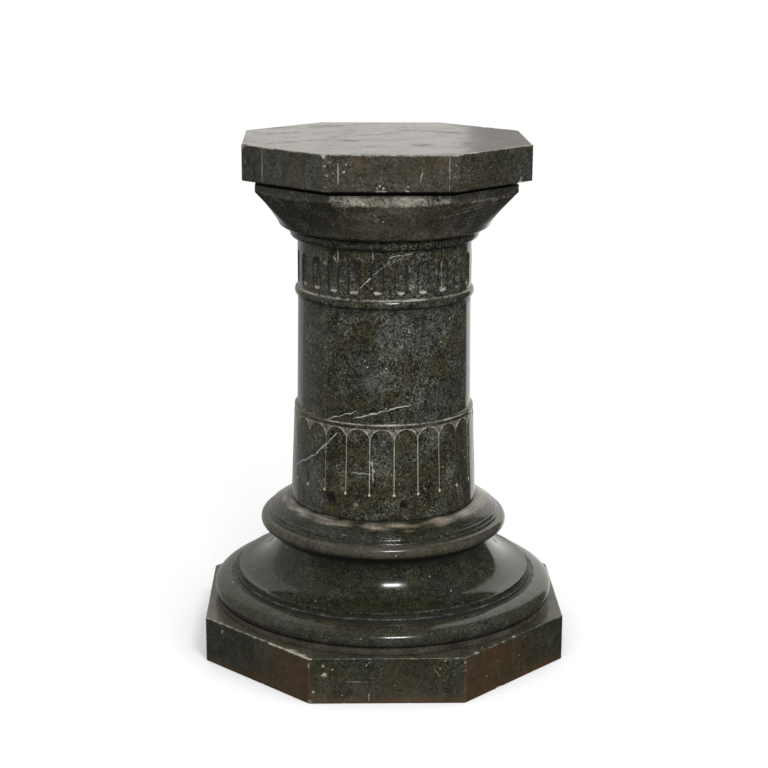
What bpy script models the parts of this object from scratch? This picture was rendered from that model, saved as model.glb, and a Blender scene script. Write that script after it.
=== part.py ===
"""Marble pedestal of five stones: plinth, turned base, carved shaft, capital and top slab.

Run it with: blender --background --python part.py
Lengths are in metres, +Z is up, the front looks along -Y, and the origin is the middle
of the plinth's underside. Each stone stands on the one below it across a hair joint.
"""
import math

import bmesh
import bpy
from mathutils import Matrix, Vector

# Hair joint between two stones
JOINT = 0.0003

# Plinth: an octagon, given by its width across the flats and the leg of each cut corner
PLINTH_WIDTH = 0.5000
PLINTH_CORNER_CUT = 0.1460
PLINTH_HEIGHT = 0.0645
PLINTH_ARRIS = 0.0015

# Base from the plinth upwards: bearing fillet, quirk, lower torus, two ledges, lip, dish
BEARING_RADIUS = 0.2400
BEARING_HEIGHT = 0.0087
QUIRK_DEPTH = 0.0035
QUIRK_HEIGHT = 0.0010
LOWER_TORUS_RADIUS = 0.2424
LOWER_TORUS_UNDER = 0.0085
LOWER_TORUS_OVER = 0.0165
LEDGE_WIDTH = 0.0018
LEDGE_HEIGHT = 0.0033
LIP_RADIUS = 0.2076
LIP_HEIGHT = 0.0050
DISH_HEIGHT = 0.0530
DISH_THROAT_RADIUS = 0.1520

# Base above the dish: neck fillet, upper torus, two reeds, sloping top with a flat seat
NECK_FILLET_RADIUS = 0.1600
NECK_FILLET_HEIGHT = 0.0080
UPPER_TORUS_RADIUS = 0.1750
UPPER_TORUS_HEIGHT = 0.0180
REED_WIDTH = 0.0035
REED_HEIGHT = 0.0045
REED_QUIRK = 0.0004
SLOPE_HEIGHT = 0.0149
SLOPE_BULGE = 0.0010
SEAT_MARGIN = 0.0020

# Shaft upwards: spreading foot band, rounded shoulder, drum, astragal, neck band
FOOT_RADIUS = 0.1315
FOOT_BAND_TOP_RADIUS = 0.1262
FOOT_BAND_HEIGHT = 0.1337
SHOULDER_HEIGHT = 0.0035
DRUM_FOOT_RADIUS = 0.1222
DRUM_TOP_RADIUS = 0.1204
DRUM_HEIGHT = 0.1551
ASTRAGAL_RADIUS = 0.1247
ASTRAGAL_HEIGHT = 0.0121
NECK_BAND_RADIUS = 0.1206
NECK_BAND_HEIGHT = 0.0683

# Carving of the shaft: sunk flutes in the neck band, tongues parted by channels in the foot
# band. The turns are those of the first flute and the first channel past the front.
REPEATS = 24
FLUTE_TURN = math.radians(9.0)
CHANNEL_TURN = math.radians(5.0)
FLUTE_WIDTH = 0.0165
FLUTE_DEPTH = 0.0035
FLUTE_BOTTOM_MARGIN = 0.0055
FLUTE_TOP_MARGIN = 0.0165
TONGUE_BOTTOM_MARGIN = 0.0364
TONGUE_TOP_MARGIN = 0.0060
CHANNEL_WIDTH = 0.0020
CHANNEL_DEPTH = 0.0012
DRILL_RADIUS = 0.0018
DRILL_DEPTH = 0.0022

# Capital upwards: bead, echinus that grows from a circle into an octagon, fillet, bed
BEAD_FOOT_RADIUS = 0.1262
BEAD_RADIUS = 0.1310
BEAD_HEIGHT = 0.0132
ECHINUS_FOOT_RADIUS = 0.1325
ECHINUS_ROUND_RADIUS = 0.1467
ECHINUS_ROUND_HEIGHT = 0.0085
ECHINUS_HEIGHT = 0.0529
ECHINUS_CORNER_RISE = 0.0042
FILLET_WIDTH = 0.3518
FILLET_CORNER_CUT = 0.0996
FILLET_HEIGHT = 0.0138
BED_INSET = 0.0080
BED_HEIGHT = 0.0066

# Top slab, a wider octagon
SLAB_WIDTH = 0.3850
SLAB_CORNER_CUT = 0.1059
SLAB_HEIGHT = 0.0475
SLAB_ARRIS = 0.0015

# The capital and the slab are set a little round from the plinth
TOP_TURN = math.radians(0.7)

# Facets
BASE_STEPS = 44
SHAFT_STEPS = 3 * REPEATS
FLUTE_STEPS = 12
DRILL_STEPS = 6
CAPITAL_STEPS_PER_SIDE = 5
ECHINUS_LEVELS = 4
ARC_STEPS = 4


def clear_scene():
    for obj in list(bpy.data.objects):
        bpy.data.objects.remove(obj, do_unlink=True)


def make_collection(name):
    collection = bpy.data.collections.new(name)
    bpy.context.scene.collection.children.link(collection)
    return collection


def make_marble(name, colour, roughness):
    material = bpy.data.materials.new(name)
    material.use_nodes = True
    shader = material.node_tree.nodes["Principled BSDF"]
    shader.inputs["Base Color"].default_value = (*colour, 1.0)
    shader.inputs["Roughness"].default_value = roughness
    shader.inputs["Metallic"].default_value = 0.0
    return material


def add_object(name, mesh, collection, material=None):
    obj = bpy.data.objects.new(name, mesh)
    collection.objects.link(obj)
    if material:
        mesh.materials.append(material)
    return obj


def mark_as_cutter(obj):
    obj.hide_render = True
    obj.display_type = "WIRE"


def arc(centre_r, centre_z, half_r, half_z, start, end, steps=ARC_STEPS):
    """Points (r, z) of an elliptical arc, angles in degrees from the outward direction."""
    points = []
    for i in range(steps + 1):
        angle = math.radians(start + (end - start) * i / steps)
        points.append((centre_r + half_r * math.cos(angle), centre_z + half_z * math.sin(angle)))
    return points


def turned(name, profile, steps, collection, material=None):
    """Turn a profile of (r, z) points, given from the top down the outer side."""
    mesh = bpy.data.meshes.new(name)
    edges = [(i, i + 1) for i in range(len(profile) - 1)]
    mesh.from_pydata([(r, 0.0, z) for r, z in profile], edges, [])
    obj = add_object(name, mesh, collection, material)
    screw = obj.modifiers.new("Turning", "SCREW")
    screw.axis = "Z"
    screw.angle = math.tau
    screw.steps = steps
    screw.render_steps = steps
    screw.use_merge_vertices = True
    screw.merge_threshold = 0.00005
    return obj


def cut(obj, name, cutters):
    """Cut one object, or every object of a collection, out of obj."""
    boolean = obj.modifiers.new(name, "BOOLEAN")
    boolean.operation = "DIFFERENCE"
    if isinstance(cutters, bpy.types.Collection):
        boolean.operand_type = "COLLECTION"
        boolean.collection = cutters
    else:
        boolean.object = cutters


def octagonal_block(name, width, corner_cut, bottom, height, arris, collection, material):
    """A square block with its upright edges cut off, then every edge slightly blunted."""
    mesh = bpy.data.meshes.new(name)
    bm = bmesh.new()
    bmesh.ops.create_cube(bm, size=1.0)
    bmesh.ops.scale(bm, vec=(width, width, height), verts=bm.verts)
    bmesh.ops.translate(bm, vec=(0.0, 0.0, bottom + height / 2), verts=bm.verts)
    upright = [e for e in bm.edges if abs(e.verts[0].co.z - e.verts[1].co.z) > height / 2]
    bmesh.ops.bevel(bm, geom=upright, offset=corner_cut, segments=1, affect="EDGES", profile=0.5)
    bmesh.ops.bevel(bm, geom=bm.edges[:], offset=arris, segments=1, affect="EDGES", profile=0.5)
    bm.to_mesh(mesh)
    bm.free()
    return add_object(name, mesh, collection, material)


def build_plinth(parts):
    marble = make_marble("Plinth marble", (0.050, 0.048, 0.038), 0.45)
    octagonal_block("plinth", PLINTH_WIDTH, PLINTH_CORNER_CUT, 0.0, PLINTH_HEIGHT,
                    PLINTH_ARRIS, parts, marble)


def base_profile(foot):
    """Outer side of the turned base, from its seat down to its foot, and the seat's level."""
    quirk_radius = BEARING_RADIUS - QUIRK_DEPTH
    bearing_top = foot + BEARING_HEIGHT
    torus_foot = bearing_top + QUIRK_HEIGHT
    torus_middle = torus_foot + LOWER_TORUS_UNDER
    torus_crown = torus_middle + LOWER_TORUS_OVER
    crown_radius = LIP_RADIUS + 2 * LEDGE_WIDTH
    lip_foot = torus_crown + 2 * LEDGE_HEIGHT
    lip_top = lip_foot + LIP_HEIGHT
    dish_top = lip_top + DISH_HEIGHT
    neck_top = dish_top + NECK_FILLET_HEIGHT
    upper_half = UPPER_TORUS_HEIGHT / 2
    upper_centre = UPPER_TORUS_RADIUS - upper_half
    reeds_foot = neck_top + UPPER_TORUS_HEIGHT
    slope_radius = upper_centre - 2 * REED_WIDTH
    slope_foot = reeds_foot + 2 * REED_HEIGHT
    seat_radius = FOOT_RADIUS + SEAT_MARGIN
    seat = slope_foot + SLOPE_HEIGHT

    profile = [(0.0, seat), (seat_radius, seat)]
    for share in (1 / 3, 2 / 3):
        bulge = SLOPE_BULGE * 4 * share * (1 - share)
        profile.append((seat_radius + (slope_radius - seat_radius) * share,
                        seat - SLOPE_HEIGHT * share + bulge))
    profile.append((slope_radius, slope_foot))
    for reed in (1, 0):
        outer = upper_centre - reed * REED_WIDTH
        profile += arc(outer - REED_WIDTH, reeds_foot + reed * REED_HEIGHT, REED_WIDTH,
                       REED_HEIGHT - REED_QUIRK, 90, 0, 3)
    profile += arc(upper_centre, neck_top + upper_half, upper_half, upper_half, 90, -90, 6)[1:]
    profile += [(NECK_FILLET_RADIUS, neck_top), (NECK_FILLET_RADIUS, dish_top)]
    profile += arc(LIP_RADIUS, dish_top, LIP_RADIUS - DISH_THROAT_RADIUS, DISH_HEIGHT, 180, 264, 6)
    profile += [(LIP_RADIUS, lip_top), (LIP_RADIUS, lip_foot)]
    profile += [(LIP_RADIUS + LEDGE_WIDTH, lip_foot)]
    profile += [(LIP_RADIUS + LEDGE_WIDTH, lip_foot - LEDGE_HEIGHT)]
    profile += [(crown_radius, lip_foot - LEDGE_HEIGHT)]
    profile += arc(crown_radius, torus_middle, LOWER_TORUS_RADIUS - crown_radius,
                   LOWER_TORUS_OVER, 90, 0)
    profile += arc(quirk_radius, torus_middle, LOWER_TORUS_RADIUS - quirk_radius,
                   LOWER_TORUS_UNDER, 0, -90, 3)[1:]
    profile += [(quirk_radius, bearing_top), (BEARING_RADIUS, bearing_top)]
    profile += [(BEARING_RADIUS, foot), (0.0, foot)]
    return profile, seat


def build_base(parts, plinth_top):
    marble = make_marble("Base marble", (0.045, 0.050, 0.042), 0.20)
    profile, seat = base_profile(plinth_top + JOINT)
    turned("turned_base", profile, BASE_STEPS, parts, marble)
    return seat


def shaft_profile(foot):
    """Outer side of the shaft from its top down, and the levels of its bands."""
    band_top = foot + FOOT_BAND_HEIGHT
    drum_foot = band_top + SHOULDER_HEIGHT
    astragal_foot = drum_foot + DRUM_HEIGHT
    neck_foot = astragal_foot + ASTRAGAL_HEIGHT
    top = neck_foot + NECK_BAND_HEIGHT
    profile = [(0.0, top), (NECK_BAND_RADIUS, top), (NECK_BAND_RADIUS, neck_foot)]
    profile += arc(DRUM_TOP_RADIUS, astragal_foot + ASTRAGAL_HEIGHT / 2,
                   ASTRAGAL_RADIUS - DRUM_TOP_RADIUS, ASTRAGAL_HEIGHT / 2, 90, -90)[1:]
    profile.append((DRUM_FOOT_RADIUS, drum_foot))
    profile += arc(DRUM_FOOT_RADIUS, band_top, FOOT_BAND_TOP_RADIUS - DRUM_FOOT_RADIUS,
                   SHOULDER_HEIGHT, 90, 0, 3)[1:]
    profile += [(FOOT_RADIUS, foot), (0.0, foot)]
    return profile, band_top, neck_foot, top


def foot_band_radius(height):
    """Radius of the spreading foot band at a height above the shaft's underside."""
    return FOOT_RADIUS + (FOOT_BAND_TOP_RADIUS - FOOT_RADIUS) * height / FOOT_BAND_HEIGHT


def around(first_turn):
    """Turns about the axis for the repeats, the first of them first_turn past the front."""
    for i in range(REPEATS):
        yield Matrix.Rotation(math.tau * i / REPEATS + first_turn - math.pi / 2, 4, "Z")


def flute_cutters(neck_foot, top):
    """Upright capsules round the neck band that sink the round-ended flutes."""
    cutters = make_collection("Flute cutters")
    bore = (FLUTE_WIDTH ** 2 / 4 + FLUTE_DEPTH ** 2) / (2 * FLUTE_DEPTH)
    half_width = FLUTE_WIDTH / 2
    low = neck_foot + FLUTE_BOTTOM_MARGIN + half_width
    high = top - FLUTE_TOP_MARGIN - half_width
    profile = arc(0.0, high, bore, half_width, 90, 0, 3) + arc(0.0, low, bore, half_width, 0, -90, 3)
    profile[0] = (0.0, high + half_width)
    profile[-1] = (0.0, low - half_width)
    first = turned("flute_cutter", profile, FLUTE_STEPS, cutters)
    mark_as_cutter(first)
    reach = Matrix.Translation((NECK_BAND_RADIUS - FLUTE_DEPTH + bore, 0.0, 0.0))
    for i, turn in enumerate(around(FLUTE_TURN)):
        obj = first if i == 0 else first.copy()
        if i > 0:
            cutters.objects.link(obj)
        obj.matrix_world = turn @ reach
    return cutters


def tongue_cutters(foot, springing, tongue_foot):
    """Radial prisms of the tongues' outline, which keep the stone between the channels."""
    keepers = make_collection("Tongue keepers")
    mesh = bpy.data.meshes.new("tongue_keeper")
    pitch = math.tau / REPEATS
    top_half = (foot_band_radius(springing - foot) * pitch - CHANNEL_WIDTH) / 2
    foot_half = (foot_band_radius(tongue_foot - foot) * pitch - CHANNEL_WIDTH) / 2
    outline = [(foot_half, tongue_foot - DRILL_RADIUS), (top_half, springing)]
    outline += arc(0.0, springing, top_half, top_half, 0, 180, 6)[1:]
    outline += [(-foot_half, tongue_foot - DRILL_RADIUS)]
    inner = DRUM_FOOT_RADIUS - 2 * CHANNEL_DEPTH
    outer = FOOT_RADIUS + 2 * CHANNEL_DEPTH
    bm = bmesh.new()
    face = bm.faces.new([bm.verts.new((inner, y, z)) for y, z in outline])
    extruded = bmesh.ops.extrude_face_region(bm, geom=[face])
    moved = [v for v in extruded["geom"] if isinstance(v, bmesh.types.BMVert)]
    bmesh.ops.translate(bm, vec=(outer - inner, 0.0, 0.0), verts=moved)
    bmesh.ops.recalc_face_normals(bm, faces=bm.faces)
    bm.to_mesh(mesh)
    bm.free()
    for turn in around(CHANNEL_TURN + pitch / 2):
        obj = add_object("tongue_keeper", mesh, keepers)
        obj.matrix_world = turn
        mark_as_cutter(obj)
    return keepers


def channel_cutter(foot, band_top):
    """A sleeve round the foot band, less the tongues: what is left cuts the channels."""
    cutters = make_collection("Channel cutters")
    tongue_foot = foot + TONGUE_BOTTOM_MARGIN
    arch_crown = band_top - TONGUE_TOP_MARGIN
    arch_radius = (foot_band_radius(arch_crown - foot) * math.tau / REPEATS - CHANNEL_WIDTH) / 2
    springing = arch_crown - arch_radius
    sleeve_top = arch_crown + CHANNEL_DEPTH
    outer = FOOT_RADIUS + CHANNEL_DEPTH
    top_inner = foot_band_radius(sleeve_top - foot) - CHANNEL_DEPTH
    foot_inner = foot_band_radius(tongue_foot - foot) - CHANNEL_DEPTH
    profile = [(top_inner, sleeve_top), (outer, sleeve_top), (outer, tongue_foot),
               (foot_inner, tongue_foot), (top_inner, sleeve_top)]
    sleeve = turned("channel_sleeve", profile, SHAFT_STEPS, cutters)
    weld = sleeve.modifiers.new("Close the sleeve", "WELD")
    weld.merge_threshold = 0.00005
    cut(sleeve, "Tongues", tongue_cutters(foot, springing, tongue_foot))
    mark_as_cutter(sleeve)
    return sleeve


def drill_cutters(foot):
    """Short radial rods that drill the dot at the foot of each channel."""
    cutters = make_collection("Drill cutters")
    mesh = bpy.data.meshes.new("drill")
    bm = bmesh.new()
    bmesh.ops.create_cone(bm, cap_ends=True, segments=DRILL_STEPS, radius1=DRILL_RADIUS,
                          radius2=DRILL_RADIUS, depth=2 * DRILL_DEPTH)
    bmesh.ops.rotate(bm, matrix=Matrix.Rotation(math.pi / 2, 3, "Y"), verts=bm.verts)
    bm.to_mesh(mesh)
    bm.free()
    reach = foot_band_radius(TONGUE_BOTTOM_MARGIN)
    place = Matrix.Translation((reach, 0.0, foot + TONGUE_BOTTOM_MARGIN))
    for turn in around(CHANNEL_TURN):
        obj = add_object("drill", mesh, cutters)
        obj.matrix_world = turn @ place
        mark_as_cutter(obj)
    return cutters


def build_shaft(parts, seat):
    marble = make_marble("Shaft marble", (0.040, 0.044, 0.036), 0.22)
    foot = seat + JOINT
    profile, band_top, neck_foot, top = shaft_profile(foot)
    shaft = turned("shaft", profile, SHAFT_STEPS, parts, marble)
    shaft.rotation_euler.z = CHANNEL_TURN
    cut(shaft, "Flutes", flute_cutters(neck_foot, top))
    cut(shaft, "Channels", channel_cutter(foot, band_top))
    cut(shaft, "Drilled dots", drill_cutters(foot))
    return top


def octagon_outline(width, corner_cut, steps_per_side):
    """Points round an octagon, evenly spaced on each side, starting at a corner."""
    half = width / 2
    near = half - corner_cut
    corners = [(half, -near), (half, near), (near, half), (-near, half),
               (-half, near), (-half, -near), (-near, -half), (near, -half)]
    points = []
    for start, end in zip(corners, corners[1:] + corners[:1]):
        for i in range(steps_per_side):
            points.append(Vector(start).lerp(Vector(end), i / steps_per_side))
    return points


def capital_sections(foot):
    """Rings of the capital from the bottom up: circles, then blends, then octagons."""
    octagon = octagon_outline(FILLET_WIDTH, FILLET_CORNER_CUT, CAPITAL_STEPS_PER_SIDE)
    flat_radius = FILLET_WIDTH / 2
    corner_reach = max(p.length for p in octagon) / flat_radius - 1

    def ring(radius, height, octagonal, rise):
        points = []
        for p in octagon:
            shape = p.length / flat_radius
            reach = radius * (1 + octagonal * (shape - 1))
            lift = rise * (shape - 1) / corner_reach
            points.append((*(p.normalized() * reach), height + lift))
        return points

    bead_top = foot + BEAD_HEIGHT
    echinus_top = bead_top + ECHINUS_HEIGHT
    fillet_top = echinus_top + FILLET_HEIGHT
    bead = arc(BEAD_FOOT_RADIUS, foot + BEAD_HEIGHT / 2, BEAD_RADIUS - BEAD_FOOT_RADIUS,
               BEAD_HEIGHT / 2, -90, 90)
    sections = [ring(r, z, 0.0, 0.0) for r, z in bead]
    sections += [ring(r, z, 0.0, 0.0)
                 for r, z in arc(ECHINUS_FOOT_RADIUS, bead_top + ECHINUS_ROUND_HEIGHT,
                                 ECHINUS_ROUND_RADIUS - ECHINUS_FOOT_RADIUS,
                                 ECHINUS_ROUND_HEIGHT, -90, -20, 3)]
    for level in range(1, ECHINUS_LEVELS + 1):
        share = level / ECHINUS_LEVELS
        radius = ECHINUS_ROUND_RADIUS + (flat_radius - ECHINUS_ROUND_RADIUS) * share
        height = bead_top + ECHINUS_ROUND_HEIGHT
        height += (ECHINUS_HEIGHT - ECHINUS_ROUND_HEIGHT) * share
        sections.append(ring(radius, height, share, ECHINUS_CORNER_RISE * share))
    sections.append(ring(flat_radius, fillet_top, 1.0, 0.0))
    sections.append(ring(flat_radius - BED_INSET, fillet_top, 1.0, 0.0))
    sections.append(ring(flat_radius - BED_INSET, fillet_top + BED_HEIGHT, 1.0, 0.0))
    return sections, fillet_top + BED_HEIGHT


def build_capital(parts, shaft_top):
    """The echinus joins a circle to an octagon, so its faces are laid between the rings."""
    marble = make_marble("Capital marble", (0.055, 0.056, 0.050), 0.30)
    sections, top = capital_sections(shaft_top + JOINT)
    mesh = bpy.data.meshes.new("capital")
    bm = bmesh.new()
    rings = [[bm.verts.new(p) for p in section] for section in sections]
    for lower, upper in zip(rings, rings[1:]):
        for i in range(len(lower)):
            j = (i + 1) % len(lower)
            bm.faces.new((lower[i], lower[j], upper[j], upper[i]))
    bm.faces.new(reversed(rings[0]))
    bm.faces.new(rings[-1])
    bm.to_mesh(mesh)
    bm.free()
    obj = add_object("capital", mesh, parts, marble)
    obj.rotation_euler.z = TOP_TURN
    return top


def build_slab(parts, capital_top):
    marble = make_marble("Slab marble", (0.060, 0.058, 0.050), 0.35)
    slab = octagonal_block("top_slab", SLAB_WIDTH, SLAB_CORNER_CUT, capital_top + JOINT,
                           SLAB_HEIGHT, SLAB_ARRIS, parts, marble)
    slab.rotation_euler.z = TOP_TURN


def main():
    clear_scene()
    parts = make_collection("Marble pedestal")
    build_plinth(parts)
    seat = build_base(parts, PLINTH_HEIGHT)
    shaft_top = build_shaft(parts, seat)
    capital_top = build_capital(parts, shaft_top)
    build_slab(parts, capital_top)


main()
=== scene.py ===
# %% [markdown]
# # A marble pedestal
#
# This lesson dresses a pedestal of five stones. The real one is a dark green serpentine
# marble, turned and carved by hand, polished, and then knocked about for a century. The
# imported model gives the stones' places and sizes. Each stone is made again here with finer
# carving, chipped edges and a marble that carries its own veins, dust and stains, and some
# painted shade, sheen and highlights.

# %% Load the imported model
import math
import random

import bmesh
import bpy
from mathutils import Matrix, Vector, kdtree, noise


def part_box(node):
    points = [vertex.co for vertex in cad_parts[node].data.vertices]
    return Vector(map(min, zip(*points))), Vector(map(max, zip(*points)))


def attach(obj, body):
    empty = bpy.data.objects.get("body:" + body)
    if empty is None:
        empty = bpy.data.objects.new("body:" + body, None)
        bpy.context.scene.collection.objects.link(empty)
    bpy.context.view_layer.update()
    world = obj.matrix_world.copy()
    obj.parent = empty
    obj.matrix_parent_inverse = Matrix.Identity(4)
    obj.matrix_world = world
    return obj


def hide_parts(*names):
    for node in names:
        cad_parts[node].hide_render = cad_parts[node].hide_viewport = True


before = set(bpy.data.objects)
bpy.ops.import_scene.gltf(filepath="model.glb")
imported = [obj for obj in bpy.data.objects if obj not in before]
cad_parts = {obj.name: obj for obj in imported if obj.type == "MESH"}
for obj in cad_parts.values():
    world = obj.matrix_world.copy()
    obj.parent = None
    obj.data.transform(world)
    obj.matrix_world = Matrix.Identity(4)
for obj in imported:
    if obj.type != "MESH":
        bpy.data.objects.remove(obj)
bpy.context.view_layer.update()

# %% [markdown]
# The camera stands about two and a half metres in front, a metre up, and looks down by
# fourteen and a half degrees. A long lens keeps the octagons calm. The pedestal's front flat
# is turned a degree and a half away from it, as one sees from the uneven corners.

# %% The camera
MM = 0.001
LENS = 82.28  # millimetres, on a sensor 36 mm wide
STAND = (0.0001, -2.4018, 0.9967)  # metres from the middle of the plinth's foot
TURN, TILT, ROLL = -1.526, -14.535, 0.307  # degrees
scene = bpy.context.scene

camera = bpy.data.objects.new("Camera", bpy.data.cameras.new("Camera"))
scene.collection.objects.link(camera)
camera.data.sensor_width = 36.0
camera.data.lens = LENS
camera.matrix_world = (
    Matrix.Rotation(math.radians(TURN), 4, "Z")
    @ Matrix.Translation(STAND)
    @ Matrix.Rotation(math.radians(90 + TILT), 4, "X")
    @ Matrix.Rotation(math.radians(ROLL), 4, "Z")
)
scene.camera = camera
scene.view_settings.view_transform = "Standard"
print("lens", camera.data.lens, "mm")

# %% [markdown]
# Every stone here starts as a turned shape. A chain of points is the stone's section. Its
# sharp corners are rounded a little, as wear rounds them, and its long edges are cut up so
# that later steps have vertices to move. Spinning the chain gives the stone. A curve with a
# Screw modifier would turn it too, but then the carving would have no vertices to work on.

# %% Turning a section
SAME_POINT = 0.005  # millimetres between points that count as one
CORNER = math.radians(25)  # a sharper turn than this is rounded


def arc(centre_r, centre_z, half_r, half_z, start, end, steps):
    """Points of an elliptical arc, in millimetres, angles in degrees from the outward side."""
    turns = [math.radians(start + (end - start) * i / steps) for i in range(steps + 1)]
    return [(centre_r + half_r * math.cos(t), centre_z + half_z * math.sin(t)) for t in turns]


def section(points, arris, step):
    """A chain of edges through (r, z) points in millimetres, its corners rounded by arris."""
    bm = bmesh.new()
    kept = [p for p, q in zip(points, points[1:]) if math.dist(p, q) > SAME_POINT] + [points[-1]]
    chain = [bm.verts.new((r * MM, 0.0, z * MM)) for r, z in kept]
    for a, b in zip(chain, chain[1:]):
        bm.edges.new((a, b))
    corners = [b for a, b, c in zip(chain, chain[1:], chain[2:])
               if (b.co - a.co).angle(c.co - b.co) > CORNER]
    bmesh.ops.bevel(bm, geom=corners, offset=arris * MM, segments=3, profile=0.5,
                    affect="VERTICES", material=-1, clamp_overlap=True)
    for edge in list(bm.edges):
        at_axis = min(v.co.x for v in edge.verts) < 1e-6
        cuts = math.ceil(edge.calc_length() / (step * MM)) - 1
        if cuts > 0 and not at_axis:
            bmesh.ops.subdivide_edges(bm, edges=[edge], cuts=cuts)
    return bm


def turn(bm, steps):
    """Spin a section through an eighth of a turn, copy that wedge round and close the stone."""
    bmesh.ops.spin(bm, geom=bm.verts[:] + bm.edges[:], cent=(0, 0, 0), axis=(0, 0, 1),
                   angle=math.tau / 8, steps=steps // 8, use_merge=False, use_duplicate=False)
    for angle in (math.tau / 8, math.tau / 4, math.tau / 2):
        copy = bmesh.ops.duplicate(bm, geom=bm.verts[:] + bm.edges[:] + bm.faces[:])["geom"]
        bmesh.ops.rotate(bm, verts=[v for v in copy if isinstance(v, bmesh.types.BMVert)],
                         matrix=Matrix.Rotation(angle, 3, "Z"))
    bmesh.ops.remove_doubles(bm, verts=bm.verts, dist=2e-6)
    bmesh.ops.recalc_face_normals(bm, faces=bm.faces)
    return bm


print("a quarter round in 8 steps has", len(arc(0, 0, 1, 1, 0, 90, 8)), "points")

# %% [markdown]
# The two octagonal blocks and the capital are turned too, and then each ring is pressed
# from a circle into the octagon. The octagon's sides are not quite equal, so its corners
# are worked out from the width and from the leg of the cut corner. The upright arrises are
# rounded by a few points of their own. A block could be extruded from its octagon, but
# pressing also gives the capital, which is round below and eight-sided above.

# %% Pressing a circle into an octagon
def octagon_corners(half, corner_cut):
    """The eight corners in order, each flat half the width from the middle."""
    near = half - corner_cut
    return [(half, -near), (half, near), (near, half), (-near, half),
            (-half, near), (-half, -near), (-near, -half), (near, -half)]


def octagon(width, corner_cut, arris, spacing):
    """Points round an octagon, as multiples of half its width, from its corner at the right."""
    corners = [Vector(c) for c in octagon_corners(width / 2, corner_cut)]
    points = []
    for i, start in enumerate(corners):
        before, end = corners[i - 1], corners[(i + 1) % 8]
        back, ahead = (before - start).normalized() * arris, (end - start).normalized() * arris
        for t in (0.0, 0.25, 0.5, 0.75, 1.0):
            points.append(start + back * (1 - t) ** 2 + ahead * t ** 2)
        run = (end - start).length - 2 * arris
        # Every side gets the same number of points, because each takes an eighth of the turn.
        count = round((width - 2 * corner_cut - 2 * arris) / spacing)
        points += [start + ahead + ahead.normalized() * run * k / count for k in range(1, count)]
    return [p / (width / 2) for p in points]


def press(bm, outline, share, lift=None):
    """Press each turned ring towards the outline by a share for its height, and lift its corners."""
    count = len(outline)
    reach = max(p.length for p in outline) - 1
    for v in bm.verts:
        r = math.hypot(v.co.x, v.co.y)
        if r < 1e-6:
            continue
        p = outline[round(math.atan2(v.co.y, v.co.x) % math.tau / math.tau * count) % count]
        s = share(v.co.z / MM)
        here = p.normalized() * r * (1 + s * (p.length - 1))
        raised = lift(v.co.z / MM) * s * (p.length - 1) / reach * MM if lift else 0.0
        v.co = Vector((here.x, here.y, v.co.z + raised))


print("a half-metre octagon, pointed every 1.8 mm, has", len(octagon(500.0, 146.0, 1.5, 1.8)), "points")

# %% [markdown]
# Wear follows the shape: dust lies on what faces up, an arris is rubbed, damp climbs from the
# foot. Painted light and shade follow the shape too, and share the same masks. So a rule that
# knows the place fills a mask on the mesh, and the marble reads it. A mask could be painted by
# hand, but a rule can be read, and gives the same stone each time.

# %% Masks
def paint(bm, mask, rule):
    """Fill a mask of the mesh from a rule that takes a place in millimetres."""
    layer = bm.verts.layers.float.get(mask) or bm.verts.layers.float.new(mask)
    for v in bm.verts:
        v[layer] = min(max(max(v[layer], rule(v.co / MM)), 0.0), 1.0)


def wobble(place, size, seed=0.0):
    """Smooth noise between -1 and 1 whose lumps are size millimetres across."""
    return noise.noise(Vector(place) / size + Vector((seed, seed * 1.7, seed * 2.3)))


print("a wobble at one place:", round(wobble((10, 20, 30), 25), 3))

# %% [markdown]
# Broken edges are real dents in the mesh. A flake comes off along the inside of a ball, so
# every vertex inside the ball is pushed out to its skin, roughened by noise. The broken
# place is marked as worn. Small nicks are scattered along an arris the same way.

# %% Chips and nicks
def chip(bm, flakes):
    """Knock out flakes, each an uneven ball: its centre and three radii in millimetres, and how worn."""
    layer = bm.verts.layers.float.get("wear_and_highlight") or bm.verts.layers.float.new("wear_and_highlight")
    bm.verts.ensure_lookup_table()
    low, high = min(v.co.z for v in bm.verts), max(v.co.z for v in bm.verts)
    tree = kdtree.KDTree(len(bm.verts))
    for v in bm.verts:
        tree.insert(v.co / MM, v.index)
    tree.balance()
    for centre, radii, wear_and_highlight in flakes:
        centre, radii = Vector(centre), Vector(radii)
        for _, index, _ in tree.find_range(centre, 1.4 * max(radii)):
            v = bm.verts[index]
            offset = v.co / MM - centre
            size = Vector(o / r for o, r in zip(offset, radii)).length
            skin = 1.0 + 0.25 * wobble(v.co / MM, 3.0) + 0.15 * wobble(v.co / MM, 1.2)
            if 1e-6 < size < skin:
                v.co += offset * (skin / size - 1) * MM
                v.co.z = min(max(v.co.z, low), high)
                v[layer] = max(v[layer], wear_and_highlight * min(1.0, 0.5 + 2.0 * (skin - size)))
    print(len(flakes), "flakes")


def nicks(half, corner_cut, levels, count, seed):
    """Small flakes scattered along the level and the upright arrises of an octagonal block."""
    chance = random.Random(seed)
    corners = octagon_corners(half, corner_cut)
    flakes = []
    for _ in range(count):
        i = chance.randrange(8)
        share, level = chance.random(), chance.choice(levels + levels[-1:])
        if chance.random() < 0.25:
            share, level = 0.0, chance.uniform(*levels)
        size = chance.uniform(0.8, 1.7)
        centre = [1.001 * (p + (q - p) * share) for p, q in zip(corners[i], corners[(i + 1) % 8])] + [level]
        radii = (size * chance.uniform(1, 2.2), size * chance.uniform(1, 2.2), size)
        flakes.append((centre, radii, chance.uniform(0.1, 0.5)))
    return flakes


print("the first nick:", nicks(250.0, 146.0, (0.0, 66.0), 1, 3)[0])
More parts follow.
